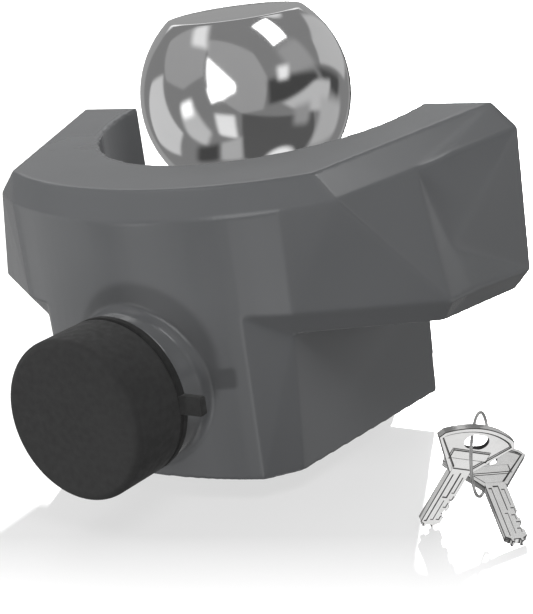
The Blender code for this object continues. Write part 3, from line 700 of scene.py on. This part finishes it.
def key_blank():
    """Fan-shaped head with a raised rim and label bar, and a blade with a notched tip and side cuts."""
    blade = KEY_BLADE_W / 2
    bm = prism(head_outline(), -KEY_WEB, KEY_WEB)
    rim = head_outline() + list(reversed(head_outline(KEY_RIM_W)))
    add_mesh(bm, prism(rim, -KEY_HALF_T, KEY_HALF_T))
    bar = rectangle(-KEY_BAR_X, KEY_BAR_X, KEY_BAR_Y - KEY_BAR_HALF_H, KEY_BAR_Y + KEY_BAR_HALF_H)
    for side in (1, -1):
        low, high = sorted((side * KEY_WEB * 0.5, side * (KEY_HALF_T + 0.05)))
        add_mesh(bm, prism(bar, low, high))
    left = [(-blade, KEY_NECK + 1.5), (-blade, 1.6)]
    tip = [(-1.6, 0.9), (-1.5, 0.0), (-0.8, 0.0), (-0.7, 0.7), (0.7, 0.7), (0.8, 0.0), (1.5, 0.0), (1.6, 0.9)]
    first_cut = [(blade, 1.6), (blade, 3.4), (blade - 0.7, 4.0), (blade - 0.7, 5.2), (blade, 5.8)]
    second_cut = [(blade, 7.0), (blade - 0.5, 7.5), (blade - 0.5, 8.8), (blade, 9.4)]
    outline = left + tip + first_cut + second_cut + [(blade, KEY_NECK + 1.5)]
    add_mesh(bm, prism(outline, -KEY_HALF_T, KEY_HALF_T))
    return bm


# Give every face the very dark metal: painted shade.
def all_shaded_dark(bm):
    for face in bm.faces:
        face.material_index = 1
    return bm


def key_hole():
    """Wide hole with round ends, for the ring; its walls take the very dark metal as painted shade."""
    half = KEY_HOLE_HALF_W - KEY_HOLE_R
    y = KEY_LENGTH - KEY_HOLE_DROP
    right = [(half + x, y + rise) for x, rise in arc(KEY_HOLE_R, 0, 0, -90, 90, 14)]
    left = [(-half + x, y + rise) for x, rise in arc(KEY_HOLE_R, 0, 0, 90, 270, 14)]
    return all_shaded_dark(prism(right + left, -CUT_REACH, CUT_REACH))


def key_pockets(side):
    """Long grooves and milled pockets in a blade's face, and thin lines round the label bar; their walls and
    the thin lines take the very dark metal as painted shade.
    """
    line = KEY_HALF_T - KEY_WEB + 0.2
    pockets = []
    for x0, x1, y0, y1, depth in (
        (-2.1, -1.3, 1.8, KEY_NECK - 0.3, 0.45),
        (-0.9, 0.5, 9.6, KEY_NECK + 0.3, 0.50),
        (-0.6, 0.2, 2.4, 8.8, 0.30),
        (0.9, 1.8, 2.6, 4.0, 0.35),
        (1.3, 2.3, 4.6, 6.0, 0.35),
        (0.8, 1.7, 6.6, 8.2, 0.35),
        (1.3, 2.2, 9.0, 10.4, 0.35),
        (0.9, 1.7, 11.2, KEY_NECK - 0.9, 0.35),
        (-5.3, 5.3, KEY_BAR_Y + 1.25, KEY_BAR_Y + 1.5, line),
        (-5.3, 5.3, KEY_BAR_Y - 1.5, KEY_BAR_Y - 1.25, line),
        (-5.3, -5.05, KEY_BAR_Y - 1.1, KEY_BAR_Y + 1.1, line),
        (5.05, 5.3, KEY_BAR_Y - 1.1, KEY_BAR_Y + 1.1, line),
    ):
        low, high = sorted((side * (KEY_HALF_T - depth), side * CUT_REACH))
        pocket = prism(rectangle(x0, x1, y0, y1), low, high)
        wide = min(x1 - x0, y1 - y0) > 0.6
        for face in pocket.faces:
            # Walls and thin lines take the very dark metal as painted shade; wide floors stay bright.
            face.material_index = 0 if wide and abs(face.normal.z) > 0.5 else 1
        pockets.append(pocket)
    return pockets


def key_rim_line(side):
    """Thin line inside the head's raised rim, in the very dark metal: painted shade."""
    low, high = sorted((side * (KEY_WEB - 0.2), side * CUT_REACH))
    outline = head_outline(KEY_RIM_W + 0.05) + list(reversed(head_outline(KEY_RIM_W + 0.35)))
    return all_shaded_dark(prism(outline, low, high))


def key_cuts(name):
    """The hole and everything that is cut into both faces, as one mesh in the frame."""
    joined = key_hole()
    for side in (1, -1):
        for cut in (*key_pockets(side), key_rim_line(side)):
            add_mesh(joined, cut)
    bmesh.ops.transform(joined, matrix=key_axes(name), verts=joined.verts)
    bmesh.ops.scale(joined, vec=(MM, MM, MM), verts=joined.verts)
    return mesh_from(joined, name + "_cuts")


def key_piece(name, body, material, shade_finish):
    """A flat key with eased edges, and painted shade: very dark metal down in its recesses and on its eased
    edges.
    """
    blank = key_blank()
    bmesh.ops.transform(blank, matrix=key_axes(name), verts=blank.verts)
    key = piece(f"{name}_skin", blank, material, body, [name], 30.0)
    key.data.materials.append(shade_finish)
    cuts = key_cuts(name)
    cuts.materials.append(material)
    cuts.materials.append(shade_finish)
    tool = add_object(name + "_cuts", cuts)
    bevel = key.modifiers.new("edges", "BEVEL")
    bevel.width = KEY_EDGE * MM
    bevel.segments = 2
    bevel.limit_method = "ANGLE"
    bevel.angle_limit = math.radians(40)
    # The eased edges take the very dark metal: painted shade along the edges.
    bevel.material = 1
    cut = key.modifiers.new("cuts", "BOOLEAN")
    cut.object = tool
    cut.solver = "EXACT"
    cut.use_self = True
    cut.material_mode = "INDEX"
    applied(key)
    bpy.data.objects.remove(tool)
    key.data.shade_smooth()
    key.data.set_sharp_from_angle(angle=math.radians(22))
    return key


def ring_skin(material):
    """A split ring: two turns of flattened wire side by side, with one crossing between them."""
    centre = Vector(joint("key_1_swing")["pos_m"]) / MM
    normal = -Vector(joint("key_1_swing")["axis"]).normalized()
    side = normal.cross(Vector((0, 0, 1))).normalized()
    other = normal.cross(side)
    low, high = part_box("key_ring")
    radius = (high.z - low.z) / MM / 2 / abs(other.z) - RING_WIRE_R
    steps = 240
    section = 12
    bm = bmesh.new()
    rings = []
    for i in range(steps + 1):
        along = RING_TURNS * i / steps
        angle = math.radians(RING_START) + math.tau * along
        cross = min(max((along - RING_CROSS_AT) / RING_CROSS_LENGTH, 0.0), 1.0)
        lift = RING_OFFSET * (2 * cross * cross * (3 - 2 * cross) - 1)
        outward = side * math.cos(angle) + other * math.sin(angle)
        middle = centre + outward * radius + normal * lift
        ring = []
        for j in range(section):
            turn = math.tau * j / section
            offset = outward * math.cos(turn) * RING_WIRE[0] + normal * math.sin(turn) * RING_WIRE[1]
            ring.append(bm.verts.new(middle + offset))
        rings.append(ring)
    for a, b in zip(rings, rings[1:]):
        for j in range(section):
            k = (j + 1) % section
            bm.faces.new((a[j], a[k], b[k], b[j]))
    bm.faces.new(rings[0])
    bm.faces.new(list(reversed(rings[-1])))
    return piece("ring_skin", bm, material, "ring", ["key_ring"], 50.0)


# --- Stage ------------------------------------------------------------------------------------------------


def direction(azimuth, elevation):
    """Unit vector towards a point of the studio: azimuth 0 is the front (-Y), 90 is the right (+X)."""
    a, e = math.radians(azimuth), math.radians(elevation)
    return Vector((math.sin(a) * math.cos(e), -math.cos(a) * math.cos(e), math.sin(e)))


def aim(light, away):
    """Turn a light so that it shines from a direction."""
    light.rotation_mode = "QUATERNION"
    light.rotation_quaternion = away.to_track_quat("Z", "Y")


def floor():
    """A pale floor, mostly lit by itself. A low light behind the part leaves a pale grey shape before it."""
    bm = bmesh.new()
    bmesh.ops.create_grid(bm, x_segments=1, y_segments=1, size=6.0)
    obj = add_object("floor", mesh_from(bm, "floor"))
    finish = Finish("floor_white", (0.15, 0.15, 0.15), 0.5)
    finish.shader.inputs["Specular IOR Level"].default_value = 0.1
    finish.shader.inputs["Emission Color"].default_value = (1.0, 1.0, 1.0, 1.0)
    place = finish.tree.nodes.new("ShaderNodeNewGeometry").outputs["Position"]
    away = finish.tree.nodes.new("ShaderNodeVectorMath")
    away.operation = "DOT_PRODUCT"
    away.inputs[1].default_value = FLOOR_FRONT
    finish.link(place, away.inputs[0])
    glow = finish.spread(away.outputs["Value"], *FLOOR_FADE, FLOOR_GLOW, 1.0)
    finish.link(glow, finish.shader.inputs["Emission Strength"])
    paint(obj, finish.material)
    obj.visible_diffuse = False
    obj.visible_glossy = False
    obj.visible_shadow = False
    floor_light(obj)


def floor_light(lit_floor):
    """The low sun behind the part, which lights nothing but the floor."""
    light = bpy.data.lights.new("floor_light", "SUN")
    light.energy = FLOOR_LIGHT
    light.angle = math.radians(FLOOR_SUN_WIDTH)
    sun = add_object("floor_light", light)
    aim(sun, direction(*FLOOR_SUN))
    lit = bpy.data.collections.new("floor_only")
    lit.objects.link(lit_floor)
    sun.light_linking.receiver_collection = lit


def softbox(name, azimuth, elevation, distance, size, power):
    """A square soft light. Polished metal mirrors the studio's panels in its place."""
    light = bpy.data.lights.new(name, "AREA")
    light.shape = "RECTANGLE"
    light.size, light.size_y = size, size
    light.energy = power
    obj = add_object(name, light)
    away = direction(azimuth, elevation)
    obj.location = Vector(LIGHT_TARGET) + away * distance
    aim(obj, away)
    obj.visible_glossy = False


def studio_world():
    """Grey studio with soft bright and dark panels for the polished ball, and white for the background."""
    world = bpy.data.worlds.new("studio")
    bpy.context.scene.world = world
    world.use_nodes = True
    tree = world.node_tree
    tree.nodes.clear()
    place = tree.nodes.new("ShaderNodeTexCoord").outputs["Generated"]

    def maths(operation, *values):
        node = tree.nodes.new("ShaderNodeMath")
        node.operation = operation
        for socket, value in zip(node.inputs, values):
            if isinstance(value, (int, float)):
                socket.default_value = value
            else:
                tree.links.new(value, socket)
        return node.outputs[0]

    def edge(towards, low, high):
        """From 0 to 1 across a soft edge, by how nearly a ray points in a direction."""
        dot = tree.nodes.new("ShaderNodeVectorMath")
        dot.operation = "DOT_PRODUCT"
        dot.inputs[1].default_value = towards
        tree.links.new(place, dot.inputs[0])
        mask = tree.nodes.new("ShaderNodeMapRange")
        mask.interpolation_type = "SMOOTHSTEP"
        mask.inputs["From Min"].default_value = low
        mask.inputs["From Max"].default_value = high
        tree.links.new(dot.outputs["Value"], mask.inputs["Value"])
        return mask.outputs["Result"]

    def blend(value, bright, mask):
        change = maths("SUBTRACT", bright, value)
        return maths("ADD", value, maths("MULTIPLY", change, mask))

    def patch(value, azimuth, elevation, half, soft, bright):
        """Blend in a round patch of the given half angle and brightness."""
        low = math.cos(math.radians(half + soft / 2))
        high = math.cos(math.radians(max(half - soft / 2, 0.5)))
        return blend(value, bright, edge(direction(azimuth, elevation), low, high))

    def panel(value, corners, soft, bright):
        """Blend in a flat panel, seen as a polygon whose sides are great circles."""
        points = [direction(*corner) for corner in corners]
        centre = sum(points, Vector()).normalized()
        reach = math.sin(math.radians(soft / 2))
        mask = 1.0
        for a, b in zip(points, points[1:] + points[:1]):
            inward = a.cross(b).normalized()
            inward *= 1 if inward.dot(centre) > 0 else -1
            mask = maths("MULTIPLY", mask, edge(inward, -reach, reach))
        return blend(value, bright, mask)

    def background(strength):
        node = tree.nodes.new("ShaderNodeBackground")
        if isinstance(strength, (int, float)):
            node.inputs["Strength"].default_value = strength
        else:
            tree.links.new(strength, node.inputs["Strength"])
        return node.outputs[0]

    def choose(test, no, yes):
        node = tree.nodes.new("ShaderNodeMixShader")
        tree.links.new(test, node.inputs["Fac"])
        tree.links.new(no, node.inputs[1])
        tree.links.new(yes, node.inputs[2])
        return node.outputs[0]

    seen = STUDIO_LEVEL
    for row in STUDIO_PANELS:
        seen = panel(seen, *row)
    for row in STUDIO_POOLS:
        seen = patch(seen, *row)
    soft = patch(SKY_LOW, 0, 90, 90, 60, SKY_HIGH)
    path = tree.nodes.new("ShaderNodeLightPath")
    shown = choose(path.outputs["Is Glossy Ray"], background(soft), background(seen))
    shown = choose(path.outputs["Is Camera Ray"], shown, background(SEEN_WHITE))
    out = tree.nodes.new("ShaderNodeOutputWorld")
    tree.links.new(shown, out.inputs["Surface"])


def camera():
    back = direction(CAMERA_AZIMUTH, CAMERA_ELEVATION)
    right = (-back).cross(Vector((0, 0, 1))).normalized()
    up = right.cross(-back)
    roll = math.radians(CAMERA_ROLL)
    x = right * math.cos(roll) + up * math.sin(roll)
    y = up * math.cos(roll) - right * math.sin(roll)
    data = bpy.data.cameras.new("camera")
    data.lens = CAMERA_LENS
    data.clip_start = 0.01
    data.clip_end = 100.0
    obj = add_object("camera", data)
    matrix = Matrix((x, y, back)).transposed().to_4x4()
    matrix.translation = Vector(CAMERA_PLACE)
    obj.matrix_world = matrix
    bpy.context.scene.camera = obj


# --- Putting it together ----------------------------------------------------------------------------------

camera()
floor()
studio_world()
for row in LIGHTS:
    softbox(*row)

COAT = powder_coat()
CHROME = polished_steel("polished_chrome", (0.86, 0.86, 0.865), 0.07)
TURNED = polished_steel("turned_chrome", (0.78, 0.78, 0.785), 0.15)
STEEL = machined("plated_steel", (0.55, 0.56, 0.58), 0.32)
BRASS = machined("lock_brass", (0.78, 0.60, 0.30), 0.30)
RUBBER = black_rubber()
NICKEL = key_nickel()
# Very dark metal for the keys' recesses, hole walls and edges: painted shade.
KEY_SHADE = key_painted_shade()

body_skin(COAT)
ball_skin(CHROME)
plug_skin(TURNED)
disc_skin(TURNED)
seal_skin(RUBBER)
# The darker rubber on the cap's groove and lip is painted shade.
cap_skin(RUBBER, black_rubber("lip_rubber_painted_shade", 0.011))
key_piece("key_1", "first_key", NICKEL, KEY_SHADE)
key_piece("key_2", "second_key", NICKEL, KEY_SHADE)
ring_skin(NICKEL)

FINISHES = {
    "polished_chrome": CHROME,
    "plated_steel": STEEL,
    "lock_brass": BRASS,
    "black_rubber": RUBBER,
    "powder_coat": COAT,
    "key_nickel": NICKEL,
}
for part in RECORD["subparts"]:
    paint(NODES[part["node"]], FINISHES[part["material_slot"]])

# Polished faces mirror the studio's panels alone, as if each piece were lit by itself.
for obj in bpy.data.objects:
    if obj.type == "MESH":
        obj.visible_glossy = False

bpy.context.scene.view_settings.view_transform = "Standard"
